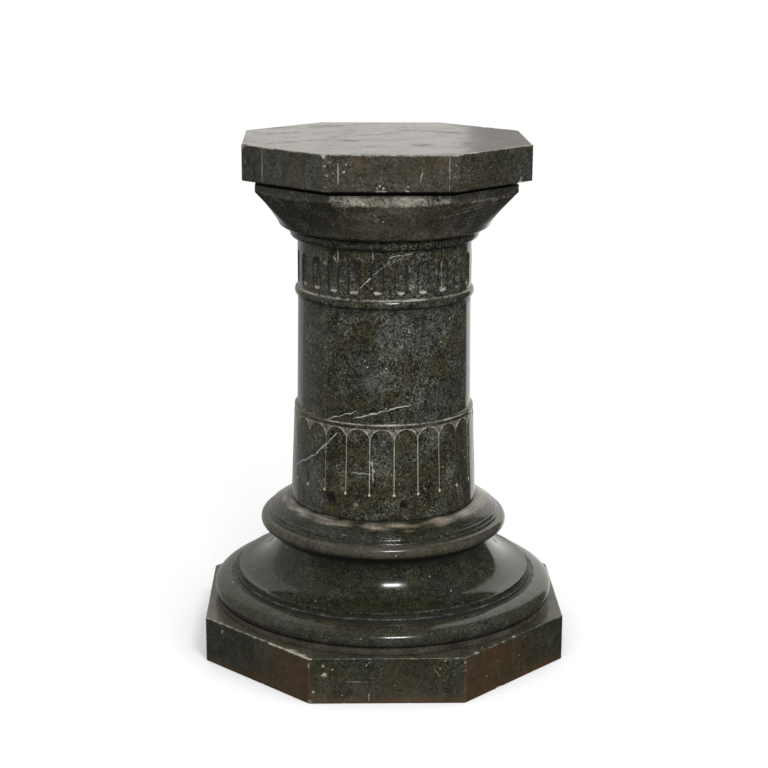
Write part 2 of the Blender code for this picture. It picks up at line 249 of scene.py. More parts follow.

# %% [markdown]
# A finished stone hides the plain one of the imported model and hangs under the root body.
# Its faces are smooth, and an edge stays sharp where two faces meet at more than forty degrees.

# %% Finishing a stone
def finish_stone(bm, name, node, material):
    """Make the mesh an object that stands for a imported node."""
    mesh = bpy.data.meshes.new(name)
    bm.to_mesh(mesh)
    bm.free()
    mesh.shade_smooth()
    mesh.set_sharp_from_angle(angle=math.radians(40))
    mesh.materials.append(material)
    stone = bpy.data.objects.new(name, mesh)
    scene.collection.objects.link(stone)
    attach(stone, "root")
    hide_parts(node)
    triangles = sum(len(face.vertices) - 2 for face in mesh.polygons)
    print(name, len(mesh.polygons), "faces,", triangles, "triangles")

# %% [markdown]
# The stone is a serpentine marble, sawn, turned and polished: nearly black, with olive and
# grey-green flecks, pale crumbs and a few blue-white veins. The polish leaves a thin, clear
# gloss over it. One small function adds a node, and another turns a hex colour to linear.

# %% Small helpers for materials
def linear(code):
    """A hex sRGB colour as linear RGBA."""
    channels = [int(code[i:i + 2], 16) / 255 for i in (1, 3, 5)]
    return [c / 12.92 if c <= 0.04045 else ((c + 0.055) / 1.055) ** 2.4 for c in channels] + [1.0]


def add(tree, kind, *inputs, **settings):
    """Add a node with its settings, fill or link its inputs in order, and give its first output."""
    node = tree.nodes.new("ShaderNode" + kind)
    for key, value in settings.items():
        setattr(node, key, value)
    for socket, value in zip([s for s in node.inputs if s.enabled], inputs):
        if isinstance(value, bpy.types.NodeSocket):
            tree.links.new(value, socket)
        else:
            socket.default_value = linear(value) if isinstance(value, str) else value
    return next(s for s in node.outputs if s.enabled)


def lumps(millimetres):
    """Scale of a noise whose lumps are so many millimetres across, as a pattern's unit is a metre."""
    return 1 / (millimetres * MM)


print("mid grey #808080 is", round(linear("#808080")[0], 3), "and a 7 mm fleck has scale", round(lumps(7)))

# %% [markdown]
# A marble is built up as it came about: first the stone, then its veins, then what time did
# to it. So each marble keeps the colour and the roughness it has so far, and every later step
# lays one more layer over them. One long list of nodes would do the same, but nobody could
# read which step is which.

# %% Serpentine marble
SMOOTH = {"interpolation_type": "SMOOTHSTEP"}


class Marble:
    """One marble: its nodes, where its pattern is read, and its colour and roughness so far."""

    def __init__(self, name, seed):
        self.material = bpy.data.materials.new(name)
        self.material.use_nodes = True
        self.tree = self.material.node_tree
        self.place = add(self.tree, "TexCoord").node.outputs["Object"]
        self.inside = add(self.tree, "Mapping", self.place, (seed, seed / 2, seed / 3))
        self.rough = None
        self.colour = None

    def layer(self, mask, colour, roughness):
        """Lay another colour and roughness over the stone where the mask is one."""
        self.colour = add(self.tree, "Mix", mask, self.colour, colour, data_type="RGBA")
        self.rough = add(self.tree, "Mix", mask, self.rough, roughness, data_type="FLOAT")


print("marbles blend their layers with", SMOOTH["interpolation_type"].lower(), "edges")

# %% [markdown]
# Serpentine is a mass of tiny crystals. Here they are one or two millimetres wide, olive or
# grey-green on near black. They gather in lumps of about a centimetre, and the hue drifts
# over a hand's breadth. To the eye that gives a dark stone with a soft, mossy grain. Noise in
# the block, unlike a picture laid on it, runs on round every edge, as real stone does.

# %% The flecked ground
def ground(marble, polish, dark="#0e0d09", olive="#3a3827", grey="#3e413b", fleck="#86877a", contrast=1.0):
    """Olive and grey-green grains on near black, drifting between the two in larger clouds."""
    tree, inside = marble.tree, marble.inside
    # The hue drifts between olive and grey-green every 70 mm.
    clouds = add(tree, "TexNoise", inside, lumps(70), 3.0, 0.5)
    drift = add(tree, "MapRange", clouds, 0.46, 0.62, **SMOOTH)
    light = add(tree, "Mix", drift, olive, grey, data_type="RGBA")
    # Grains of 1 to 2 mm are too fine to show, so they are drawn 3 mm wide, in lumps of 13 mm.
    gathered = add(tree, "TexNoise", inside, lumps(13), 4.0, 0.65, 2.0, 0.8)
    gathered = add(tree, "MapRange", gathered, 0.30, 0.70, **SMOOTH)
    grains = add(tree, "TexNoise", inside, lumps(3.2), 3.0, 0.75, 2.0, 0.8)
    grains = add(tree, "MapRange", grains, 0.36, 0.64, **SMOOTH)
    amount = add(tree, "Math", gathered, 0.7, grains, operation="MULTIPLY_ADD")
    amount = add(tree, "MapRange", amount, 0.85 - 0.6 * contrast, 0.85 + 0.75 * contrast, **SMOOTH)
    stone = add(tree, "Mix", amount, dark, light, data_type="RGBA")
    # Pale crumbs, drawn 2.6 mm wide for the same reason, lie thick and thin every 34 mm.
    crumbs = add(tree, "TexNoise", inside, lumps(2.6), 3.0, 0.75, 2.0, 1.0)
    thick = add(tree, "TexNoise", inside, lumps(34), 3.0, 0.6)
    thick = add(tree, "MapRange", thick, 0.38, 0.66, 0.02, -0.06, **SMOOTH)
    crumbs = add(tree, "Math", crumbs, thick, operation="SUBTRACT")
    crumbs = add(tree, "MapRange", crumbs, 0.55, 0.74, 0.0, 0.75 * contrast, **SMOOTH)
    marble.colour = add(tree, "Mix", crumbs, stone, fleck, data_type="RGBA")
    # The polish is duller in scuffs of about 38 mm.
    scuffs = add(tree, "TexNoise", inside, lumps(38), 5.0, 0.6)
    marble.rough = add(tree, "MapRange", scuffs, 0.40, 0.70, polish, polish + 0.10, **SMOOTH)
    # A pale speck in every cell of 24 mm.
    cells = add(tree, "TexVoronoi", inside, lumps(24))
    marble.layer(add(tree, "MapRange", cells, 0.055, 0.025, **SMOOTH), "#a5a49a", 0.4)


print("crumbs are drawn with scale", round(lumps(2.6)))

# %% [markdown]
# A vein is a crack that filled with lighter mineral, so in a solid block it is a thin sheet.
# Each one here is a plane through two points of the surface, wavering by a few millimetres,
# that fades out beyond the two points. The same sheet, in another colour, makes a scratch.
# A spot is a ball instead of a sheet, and its edge is frayed by noise.

# %% Veins, scratches and spots
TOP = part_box("top_slab")[1].z / MM


def sheet(marble, start, end, width, waver, fray):
    """Mask of a wavering sheet from start to end, in millimetres, that cuts straight inwards."""
    a, b = Vector(start) * MM, Vector(end) * MM
    middle = (a + b) / 2
    # On a side the sheet runs in towards the axis, and on the slab's top it runs straight down.
    inward = Vector((middle.x, middle.y, 0.0)) if abs(middle.z / MM - TOP) > 0.1 else Vector((0, 0, 1))
    along = b - a
    across = along.cross(inward).normalized()
    tree = marble.tree
    offset = add(tree, "VectorMath", marble.place, a, operation="SUBTRACT")
    aside = add(tree, "VectorMath", offset, across, operation="DOT_PRODUCT")
    run = add(tree, "VectorMath", offset, along / along.length_squared, operation="DOT_PRODUCT")
    front = add(tree, "VectorMath", marble.place, inward, operation="DOT_PRODUCT")
    wave = add(tree, "TexNoise", marble.inside, lumps(24), 4.0, 0.7)
    wave = add(tree, "Math", wave, 4 * waver * MM, -2 * waver * MM, operation="MULTIPLY_ADD")
    aside = add(tree, "Math", aside, wave, operation="ADD")
    aside = add(tree, "Math", aside, operation="ABSOLUTE")
    thin, thick = width * MM * (1 - fray), width * MM * (1 + fray)
    girth = add(tree, "TexNoise", marble.inside, lumps(9), 3.0, 0.6)
    girth = add(tree, "MapRange", girth, 0.32, 0.68, thin, thick, **SMOOTH)
    line = add(tree, "Math", aside, girth, operation="DIVIDE")
    mask = add(tree, "MapRange", line, 1.0, 0.3, **SMOOTH)
    for value, outside, within in ((run, -0.02, 0.12), (run, 1.02, 0.88), (front, 0.0, 0.002)):
        fade = add(tree, "MapRange", value, outside, within, **SMOOTH)
        mask = add(tree, "Math", mask, fade, operation="MULTIPLY")
    return mask


def spot(marble, place, size, strength):
    """Mask of a ragged spot of so many millimetres round a place."""
    away = add(marble.tree, "VectorMath", marble.place, Vector(place) * MM, operation="DISTANCE")
    ragged = add(marble.tree, "TexNoise", marble.inside, lumps(size / 2), 4.0, 0.8)
    away = add(marble.tree, "Math", ragged, 3.0 * size * MM, away, operation="MULTIPLY_ADD")
    return add(marble.tree, "MapRange", away, 2.4 * size * MM, 1.8 * size * MM, 0.0, strength, **SMOOTH)


def lay_sheets(marble, sheets, colour, roughness, waver=2.5, fray=0.5):
    """Veins or scratches, each from a start to an end and so wide."""
    for start, end, width in sheets:
        marble.layer(sheet(marble, start, end, width, waver, fray), colour, roughness)


def lay_spots(marble, spots, colour, roughness, strength=1.0):
    """Spots of one colour, each at a place and so large."""
    for place, size in spots:
        marble.layer(spot(marble, place, size, strength), colour, roughness)


VEIN = "#979f9b"  # calcite, slightly blue
SCRATCH = "#7f7c71"  # bruised stone
print("the slab's top is at", round(TOP, 1), "mm")

# %% [markdown]
# Each stone's mesh carries five masks of its own. The first is matt and pale where the chisel
# left it, and also holds a painted reflection on the front of the capital's fillet. The second
# is pale where an arris is rubbed or broken, and also holds painted highlights at the lower
# ends of the flutes and on the base's reeds and lip. The third lays dust where dust lies, and
# also a painted sheen on the fronts of the echinus and the slab. The fourth is brown where
# damp has stained it. The fifth is dark where dirt sits, and also holds painted shade in
# hollows and creases and on the far left sides of the plinth and the slab. The material frays
# the edge of each mask with noise, so it never looks painted on.

# %% Five masks of age and of painted light
MARBLE_IOR = 1.54


def age(marble, tooled_and_reflection="#b3ac9e", wear_and_highlight="#8f8a7e", dust_and_sheen_tint="#887d6f", stain="#46301b", grime_and_shade_tint="#0c0b08", dull=0.6):
    """Lay the stone's five masks of age and of painted light and shade over its colour."""
    tree = marble.tree
    crumble = add(tree, "TexNoise", marble.inside, lumps(4.0), 4.0, 0.7)
    soft = add(tree, "TexNoise", marble.inside, lumps(12), 4.0, 0.65)
    # The dark mask also carries painted shade, the dust mask a painted sheen, the wear mask painted highlights and
    # the chisel mask a painted reflection.
    for name, colour, roughness, noise_used, low, high in (
            ("grime_and_shade", grime_and_shade_tint, 0.6, soft, 0.1, 1.0), ("stained", stain, 0.42, soft, 0.35, 1.05),
            ("dust_and_sheen", dust_and_sheen_tint, dull, crumble, 0.55, 1.25), ("tooled_and_reflection", tooled_and_reflection, 0.75, crumble, 0.05, 1.0),
            ("wear_and_highlight", wear_and_highlight, 0.7, crumble, 0.25, 0.90)):
        mask = add(tree, "Attribute", attribute_name=name).node.outputs["Fac"]
        if name in ("stained", "dust_and_sheen"):
            uneven = add(tree, "MapRange", noise_used, 0.3, 0.7, low, high, **SMOOTH)
            laid = add(tree, "Math", mask, uneven, operation="MULTIPLY")
        else:
            frayed = add(tree, "Math", mask, 0.6, operation="SUBTRACT")
            frayed = add(tree, "Math", noise_used, 1.2, frayed, operation="MULTIPLY_ADD")
            frayed = add(tree, "MapRange", frayed, low, high, **SMOOTH)
            within = add(tree, "MapRange", mask, 0.0, 0.15, **SMOOTH)
            laid = add(tree, "Math", frayed, within, operation="MULTIPLY")
        marble.layer(laid, colour, roughness)


def finish_marble(marble):
    """Join the colour and roughness to the shader, and give the surface its fine unevenness."""
    tree = marble.tree
    shader = tree.nodes["Principled BSDF"]
    tree.links.new(marble.colour, shader.inputs["Base Color"])
    tree.links.new(marble.rough, shader.inputs["Roughness"])
    shader.inputs["IOR"].default_value = MARBLE_IOR
    # Turning leaves a swell of 16 mm, and the last grit left marks too fine to show, drawn as 1.6 mm.
    swell = add(tree, "TexNoise", marble.inside, lumps(16), 2.0, 0.5)
    grit = add(tree, "TexNoise", marble.inside, lumps(1.6), 2.0, 0.6)
    ripple = add(tree, "Math", grit, 0.35, swell, operation="MULTIPLY_ADD")
    bump = add(tree, "Bump", 0.12, 0.4 * MM).node
    tree.links.new(ripple, bump.inputs["Height"])
    tree.links.new(bump.outputs["Normal"], shader.inputs["Normal"])
    print(marble.material.name, len(marble.tree.nodes), "nodes")
    return marble.material


print("polished marble bends light by", MARBLE_IOR)

# %% [markdown]
# The turned base is two tori with a wide dish between them. From the plinth upwards the
# section climbs over a bearing fillet, a dark quirk, the lower torus, two thin ledges, the
# lip, the dish, the neck fillet, the upper torus and two reeds, and ends in a sloping top.

# %% The turned base
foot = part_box("turned_base")[0].z / MM
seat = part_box("turned_base")[1].z / MM
bearing_top = foot + 8.7
torus_foot = bearing_top + 1.0
torus_middle = torus_foot + 8.5
torus_crown = torus_middle + 16.5
lip_foot = torus_crown + 6.6
lip_top = lip_foot + 5.0
dish_top = lip_top + 53.0
neck_top = dish_top + 8.0
upper_middle = neck_top + 9.0
reeds_foot = neck_top + 18.0

base_points = [(0, foot), (200, foot), (240, foot), (240, bearing_top), (236.5, bearing_top)]
base_points += arc(236.5, torus_middle, 5.9, 8.5, -90, 0, 8)
base_points += arc(211.2, torus_middle, 31.2, 16.5, 0, 90, 22)[1:]
base_points += [(211.2, lip_foot - 3.3), (209.4, lip_foot - 3.3), (209.4, lip_foot),
                (207.6, lip_foot), (207.6, lip_top)]
base_points += arc(207.6, dish_top, 55.6, 53.0, 264, 180, 34)
base_points += [(160, dish_top), (160, neck_top), (166, neck_top)]
base_points += arc(166, upper_middle, 9.0, 9.0, -90, 90, 26)[1:]
for reed in (0, 1):
    base_points += arc(162.5 - 3.5 * reed, reeds_foot + 4.5 * reed, 3.5, 4.1, 0, 90, 7)
for share in (0.0, 0.2, 0.4, 0.6, 0.8, 1.0):
    base_points.append((159 - 25.5 * share, seat - 14.9 * (1 - share) + 4 * share * (1 - share)))
base_points.append((0, seat))

base = turn(section(base_points, 0.6, 3.0), 360)
print(len(base_points), "points in the section of the turned base")

# %% [markdown]
# Dust has settled on the sloping seat round the shaft's foot, and lies as a film on the tori.
# The crests of the reeds, the lip and the ledge below it are painted pale: highlights, with some
# wear. Painted shade darkens the quirk under the lower torus, the ledges and the neck.

# %% Age and painted light of the turned base
def seat_dust(p):
    """Dust on the sloping top, in streaks that run round the stone."""
    r, angle = math.hypot(p.x, p.y), math.atan2(p.y, p.x)
    if p.z < reeds_foot + 2 or r < 130:
        return 0.0
    streak = wobble((math.cos(angle) * 20, math.sin(angle) * 20, r), 4)
    return 0.46 - max(abs(r - 141) - 2, 0) / 10 + 0.8 * streak + 0.4 * wobble(p, 30, 1.0)


def torus_film(p):
    """A thin film of dust on the two tori and on the bearing fillet."""
    r = math.hypot(p.x, p.y)
    upper = 0.11 if neck_top < p.z < reeds_foot + 1 and r > 160 else 0.0
    lower = 0.03 if torus_foot < p.z < lip_foot and r > 206 else 0.0
    bearing = 0.13 if p.z < bearing_top + 0.5 else 0.0
    film = max(upper, lower, bearing)
    return film * (1 + 0.8 * wobble(p, 25))


def reed_highlights_and_wear(p):
    """Painted highlights, with some wear, along the crests of the reeds, on the lip and on the ledge below it."""
    r = math.hypot(p.x, p.y)
    reeds = 0.26 if p.z > reeds_foot - 0.5 and 155 < r < 163.2 else 0.0
    lip = 0.40 if abs(p.z - lip_top) < 0.8 and 205 < r or abs(p.z - lip_foot + 3.3) < 0.5 and r > 209 else 0.0
    return max(reeds, lip) * (0.9 + 0.5 * wobble(p, 12)) if reeds or lip else 0.0


def base_hollow_shade(p):
    """Painted shade in the quirk under the lower torus, in the ledges under the lip and round the neck."""
    r = math.hypot(p.x, p.y)
    quirk = 1.0 if abs(p.z - torus_foot) < 2.0 and r > 230 else 0.0
    ledges = 0.7 if torus_crown - 0.5 < p.z < lip_foot + 1 and r > 200 else 0.0
    neck = 1.0 - (dish_top + 2 - p.z) / 14 if dish_top - 10 < p.z < neck_top + 1 and r < 170 else 0.0
    return max(quirk, ledges, neck)


paint(base, "dust_and_sheen", seat_dust)
paint(base, "dust_and_sheen", torus_film)
paint(base, "wear_and_highlight", reed_highlights_and_wear)
paint(base, "grime_and_shade", base_hollow_shade)
print("dust on the front of the seat:", round(seat_dust(Vector((0, -143, seat))), 2))

# %% [markdown]
# The turned base has kept its polish all round, so its marble is the darkest of the five, and
# its flecks are faint. It has no veins.

# %% Marble of the turned base
base_marble = Marble("Turned_serpentine_marble", 3.1)
ground(base_marble, 0.12, dark="#141510", olive="#2b2b1c", grey="#2e302a", fleck="#5d5e50", contrast=0.85)
age(base_marble, dull=0.4)
finish_stone(base, "base_stone", "turned_base", finish_marble(base_marble))

# %% [markdown]
# The shaft carries the carving. It is turned with a column of vertices every half degree,
# and then the columns are slid sideways so that they follow the outline of each flute and of
# each tongue, and are sunk where the chisel went. Sliding keeps every edge crisp without
# cutting the mesh.

# %% Rows of the shaft
shaft_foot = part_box("shaft")[0].z / MM
shaft_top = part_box("shaft")[1].z / MM
BAND_HEIGHT = 133.7
DRUM_HEIGHT = 155.1
FOOT_RADIUS = 131.5
band_top = shaft_foot + BAND_HEIGHT
drum_foot = band_top + 3.5
astragal_foot = drum_foot + DRUM_HEIGHT
neck_foot = astragal_foot + 12.1
REPEATS = 24
COLUMNS = 32


def band_radius(z):
    """The foot band tapers by 5.3 mm over its height."""
    return FOOT_RADIUS - 5.3 * (z - shaft_foot) / BAND_HEIGHT


FLUTE_HALF = 8.25
flute_low = neck_foot + 5.5 + FLUTE_HALF
flute_high = shaft_top - 16.5 - FLUTE_HALF
FLUTE_DEPTH = 3.5
FLUTE_TURN = 9.0
END_TURNS = (15, 30, 42, 53, 63, 72, 79, 85, 88)
neck_rows = [neck_foot + 0.6, neck_foot + 2.5, neck_foot + 4.5]
neck_rows += [flute_low - FLUTE_HALF * math.sin(math.radians(t)) for t in reversed(END_TURNS)]
neck_rows += [flute_low + (flute_high - flute_low) * i / 8 for i in range(9)]
neck_rows += [flute_high + FLUTE_HALF * math.sin(math.radians(t)) for t in END_TURNS]
neck_rows += [flute_high + FLUTE_HALF + d for d in (0.9, 3.0, 6.0, 10.0, 13.5)]

CHANNEL_HALF = 1.0
CHANNEL_DEPTH = 1.2
DOT_RADIUS = 1.9
dot_z = shaft_foot + 36.4
CHANNEL_TURN = 5.0
crown = band_top - 6.0
arch_radius = band_radius(crown) * math.tau / REPEATS / 2 - CHANNEL_HALF
springing = crown - arch_radius
band_rows = [shaft_foot + 1.2, shaft_foot + 5, shaft_foot + 11, shaft_foot + 18, shaft_foot + 25,
             shaft_foot + 31, dot_z - 2.6]
band_rows += [dot_z + DOT_RADIUS * math.sin(math.radians(t)) for t in (-86, -70, -50, -25, 0, 25, 45, 58)]
band_rows += [dot_z + 3 + (springing - dot_z - 4) * i / 11 for i in range(12)]
band_rows += [springing + arch_radius * math.sin(math.radians(t))
              for t in (6, 14, 22, 30, 38, 46, 53, 60, 66, 71, 76, 80, 84, 87)]
band_rows += [crown + 0.15, crown + 0.9, crown + 1.2, crown + 1.45, crown + 3.0, crown + 4.8]

shaft_points = [(0, shaft_foot), (FOOT_RADIUS, shaft_foot)]
shaft_points += [(band_radius(z), z) for z in band_rows]
shaft_points += arc(122.2, band_top, 4.0, 3.5, 0, 90, 5)
drum_rows = [drum_foot + 0.8 + (astragal_foot - drum_foot - 1.6) * i / 10 for i in range(11)]
shaft_points += [(122.2 - 1.8 * (z - drum_foot) / DRUM_HEIGHT, z) for z in drum_rows]
shaft_points += arc(120.4, astragal_foot + 6.05, 4.3, 6.05, -90, 90, 12)
shaft_points += [(120.6, z) for z in neck_rows]
shaft_points += [(120.6, shaft_top - 0.01), (0, shaft_top)]
print(len(shaft_points), "rows,", REPEATS * COLUMNS, "columns")

# %% [markdown]
# A flute is a shallow channel with round ends, sunk with the inside of a ball or of a
# cylinder. The ninth column to each side of its middle runs along its edge, and the columns
# beyond it share out the flat between two flutes. Where the flute ends, they draw together.

# %% The outline of a flute
def flute_cell(column, z, half_pitch):
    """Sideways place, depth, chisel mark and painted shade of a column in a flute's cell, its middle column 0."""
    step = abs(column)
    past = max(flute_low - z, z - flute_high, 0.0)
    rim = math.sqrt(max(FLUTE_HALF ** 2 - past ** 2, 0.0))
    beyond = past - FLUTE_HALF
    guide = max(rim, min(FLUTE_HALF, 0.15 + max(beyond, 0.0) * 1.1), 0.15)
    if step <= 9:
        x = guide * step / 9
    else:
        x = guide + 0.3 + (half_pitch - guide - 0.3) * (step - 10) / 6
    bore = (FLUTE_HALF ** 2 + FLUTE_DEPTH ** 2) / (2 * FLUTE_DEPTH)
    across = math.hypot(x, past)
    depth = math.sqrt(bore ** 2 - across ** 2) - (bore - FLUTE_DEPTH) if across < FLUTE_HALF else 0.0
    rim_shade = 0.0
    # Painted shade along the rim, darkest on the left side and at the upper end.
    if 8 <= step <= 10 and beyond < 0.5:
        rim_shade = 0.95 if column < 0 or z > flute_high else 0.7
    return math.copysign(x, column), depth, 0.12 * (depth > 0.3), rim_shade


print("a flute is", round(flute_high - flute_low + 2 * FLUTE_HALF, 1), "mm long")

# %% [markdown]
# A tongue is what stands between two narrow channels. Each channel is straight, ends below in
# a drilled dot, and opens above into the little triangle between two round crowns. So the
# same columns run up the channel's two edges, part at the springing and follow the crowns.

# %% The outline of a tongue
def tongue_cell(column, z, half_pitch):
    """Sideways place, depth, chisel mark and painted shade (none here) of a column in a channel's cell, its middle
    column 0.
    """
    step = abs(column)
    edge = CHANNEL_HALF
    depth = CHANNEL_DEPTH
    if z > springing:
        rise = min(z - springing, arch_radius)
        edge = half_pitch - math.sqrt(max(arch_radius ** 2 - rise ** 2, 0.0))
        depth = CHANNEL_DEPTH - 0.3 * min((z - springing) / 4, 1.0)
    elif z < dot_z + DOT_RADIUS:
        ring = math.sqrt(max(DOT_RADIUS ** 2 - (z - dot_z) ** 2, 0.0))
        edge = max(ring, CHANNEL_HALF if z > dot_z else 0.25)
        depth = 2.2
    edge = min(edge, half_pitch - 0.2)
    if z > crown + 1.0:
        edge = max(half_pitch - 0.2 - (z - crown - 1.0) * 4, CHANNEL_HALF)
    rim = min(0.2, (half_pitch - edge) / 2)
    inner = edge - rim
    x = (0.0, inner / 2, inner, edge)[step] if step < 4 else (
        edge + rim + (half_pitch - edge - rim) * (step - 4) / 12)
    share = (1.0, 1.0, 0.85, 0.08)[step] if step < 4 else 0.0
    if crown < z < crown + 1.05:
        share = 1.0
    if z > crown + 1.05 or z < dot_z - DOT_RADIUS - 0.1:
        share = 0.0
    mark = (0.80, 0.60, 0.05, 0.0)[step] if step < 4 else 0.0
    if z > springing:
        blend = min((z - springing) / 8, 1.0)
        marks = (0.80 - 0.52 * blend, 0.60 - 0.32 * blend, 0.05 + 0.55 * blend, 0.2 * blend)
        mark = marks[step] if step < 4 else 0.0
    elif z < dot_z + DOT_RADIUS:
        mark = 1.6 if step < 3 else 0.6 * (step == 3)
    if z > crown:
        mark = 0.6 if z < crown + 0.5 else 0.1
    return math.copysign(x, column), depth * share, mark * (share > 0.0), 0.0


print("a tongue is", round(2 * arch_radius, 1), "mm wide")

# %% [markdown]
# Carving goes over every vertex of the turned shaft once. It finds the cell and the column
# that the vertex belongs to, asks the flute or the tongue where the column runs at that
# height, and moves it there. The cut is marked as tooled, where it is matt and pale, and the
# rims of the flutes get painted shade.

# %% Carving the shaft
def carve(bm):
    """Slide and sink every column of the shaft, and mark what the chisel cut."""
    tooled_and_reflection, grime_and_shade = (bm.verts.layers.float.new(mask) for mask in ("tooled_and_reflection", "grime_and_shade"))
    count = REPEATS * COLUMNS
    for v in bm.verts:
        r, z = math.hypot(v.co.x, v.co.y) / MM, v.co.z / MM
        if r < 1e-3:
            continue
        k = round(math.atan2(v.co.y, v.co.x) / math.tau * count) % count
        cell, column = divmod(k + COLUMNS // 2, COLUMNS)
        column -= COLUMNS // 2
        half_pitch = r * math.pi / REPEATS
        x, depth, mark, rim_shade, start = half_pitch * 2 * column / COLUMNS, 0.0, 0.0, 0.0, CHANNEL_TURN
        if z > drum_foot:
            start += (FLUTE_TURN - CHANNEL_TURN) * min((z - drum_foot) / DRUM_HEIGHT, 1.0)
        if neck_foot + 0.3 < z < shaft_top - 1.5:
            x, depth, mark, rim_shade = flute_cell(column, z, half_pitch)
        elif shaft_foot + 1.0 < z < band_top - 0.05:
            x, depth, mark, rim_shade = tongue_cell(column, z, half_pitch)
        angle = math.radians(start + 15.0 * cell) + x / r
        reach = (r - depth) * MM
        v.co = Vector((reach * math.sin(angle), -reach * math.cos(angle), v.co.z))
        v[tooled_and_reflection], v[grime_and_shade] = mark, rim_shade
    bmesh.ops.recalc_face_normals(bm, faces=bm.faces)


shaft = turn(section(shaft_points, 0.9, 400.0), REPEATS * COLUMNS)
carve(shaft)
print(len(shaft.verts), "vertices in the carved shaft")

# %% [markdown]
# Rubbing has turned the shoulder over the tongues and the ring on the astragal pale. The
# lower ends of the flutes carry painted highlights, and painted shade darkens the flutes
# towards their upper ends and the crease under the astragal; the stone is darker at its two
# ends too. Two pits and some crumbs have broken out near the foot.

# %% Age and painted light of the shaft
def flute_highlights_and_wear(p):
    """Painted highlights at the lower ends of the flutes; pale rubbing along the shoulder, on the neck and on the
    astragal's ring.
    """
    low = math.exp(-((p.z - flute_low + 4.5) / 2.6) ** 2) if math.hypot(p.x, p.y) < 119.0 else 0.0
    shoulder = 0.78 if abs(p.z - band_top - 0.2) < 1.0 else 0.0
    neck = 0.08 + 0.6 * wobble(p, 7) if neck_foot < p.z < shaft_top - 6 else 0.0
    ring = 0.60 + 0.4 * wobble(p, 15) if abs(p.z - neck_foot + 0.4) < 1.0 and math.hypot(p.x, p.y) > 120 else 0.0
    return max(low * (0.9 + 0.5 * wobble(p, 9)), shoulder * (0.75 + 0.5 * wobble(p, 20)), neck, ring)


def flute_shade_and_dark_ends(p):
    """Painted shade in the flutes, growing towards their upper ends, and in the crease under the astragal; darker at
    the stone's two ends.
    """
    inside = math.hypot(p.x, p.y) < 119.5 and p.z > neck_foot
    hollow = 0.22 + 0.40 * (p.z - flute_low) / (flute_high - flute_low) if inside else 0.0
    ends = max(1 - (p.z - shaft_foot) / 2.5, 1 - (shaft_top - p.z) / 5, 0.9 - abs(p.z - astragal_foot) / 2)
    return max(hollow, ends)


paint(shaft, "wear_and_highlight", flute_highlights_and_wear)
paint(shaft, "grime_and_shade", flute_shade_and_dark_ends)
pits = ((-34.8, 240, 6), (10.9, 234, 6), (-18, 236, 3), (24, 287, 2.5), (150, 240, 7), (95, 300, 4))
chip(shaft, [((132.5 * math.sin(math.radians(angle)), -132.5 * math.cos(math.radians(angle)), z),
              (size, size, size * 0.7), 0.3) for angle, z, size in pits])

# %% [markdown]
# The shaft's marble is the liveliest: bright olive grain, seven blue-white veins, two brown
# pits, pale crumbs and a few scratches, each where the real stone shows it. The veins are
# part of the stone, so they are laid before its age, and the scratches after it.

# %% Marble of the shaft
shaft_marble = Marble("Carved_serpentine_marble", 0.0)
ground(shaft_marble, 0.07)
lay_sheets(shaft_marble, (
    ((-39.5, -114.0, 532.5), (-1.3, -120.6, 567.5), 0.8), ((1.3, -120.6, 576.8), (41.1, -113.4, 583.6), 0.5),
    ((-78.6, -93.6, 349.0), (-38.0, -116.0, 367.5), 0.8), ((-46.0, -113.0, 355.8), (36.0, -117.0, 377.0), 0.95),
    ((-122.7, -36.4, 267.3), (-95.3, -85.5, 296.8), 0.9), ((-97.0, -84.0, 295.5), (-65.0, -110.3, 334.0), 0.9),
    ((-48.7, -119.5, 279.9), (-18.9, -127.6, 279.6), 0.6)), VEIN, 0.2)
lay_spots(shaft_marble, (((-74.7, -107.6, 240), 19), ((24.8, -128.6, 235), 14)), "#4a412b", 0.4, 0.75)
lay_spots(shaft_marble, (((-74, -108.2, 240), 15), ((24.8, -128.6, 235), 11)), "#040302", 0.4)
lay_spots(shaft_marble, (((-40.5, -124.6, 236), 4),), "#7b7c70", 0.4, 0.7)
lay_spots(shaft_marble, (((-19.2, -119.5, 404), 16),), "#5f6259", 0.4, 0.35)
lay_spots(shaft_marble, (((53.3, -119.6, 287), 2.5), ((-1.3, -131, 269), 2.5)), "#8d8b80", 0.4, 0.9)
lay_spots(shaft_marble, (((-20, -127.4, 296), 3), ((-17, -127.8, 285), 3)), "#b0aa9c", 0.4, 0.9)
lay_spots(shaft_marble, (((30, -117, 476), 2), ((62, -102, 476), 2)), "#8d8b80", 0.4, 0.9)
age(shaft_marble)
lay_sheets(shaft_marble, (
    ((-18.8, -127.6, 300), (-17.4, -127.8, 268), 1.0), ((75.3, -94.2, 590), (76.8, -92.9, 522), 0.7),
    ((-64.6, -101.8, 592), (-64.6, -101.8, 566), 0.8), ((-19.8, -119, 592), (-18.5, -119.2, 572), 0.6),
    ((-70, -98, 575), (-66, -101, 560), 1.4)), SCRATCH, 0.6, 1.2, 0.9)
lay_spots(shaft_marble, (
    ((-65.5, -99.5, 469), 1.3), ((-61.5, -102.5, 452), 1.3), ((-25, -118, 428), 1.8), ((42, -112, 429), 1.2),
    ((65, -100, 480), 1.5), ((-80, -88, 470), 1.2), ((20, -119, 558), 1.4)), "#b9b7ac", 0.4)
finish_stone(shaft, "shaft_stone", "shaft", finish_marble(shaft_marble))

# %% [markdown]
# The capital grows from a round bead into an octagon. It is turned as a circle, and its
# rings are pressed towards the octagon by a share that rises with height, so the corner
# ridges come up softly out of the round and are crisp at the fillet.

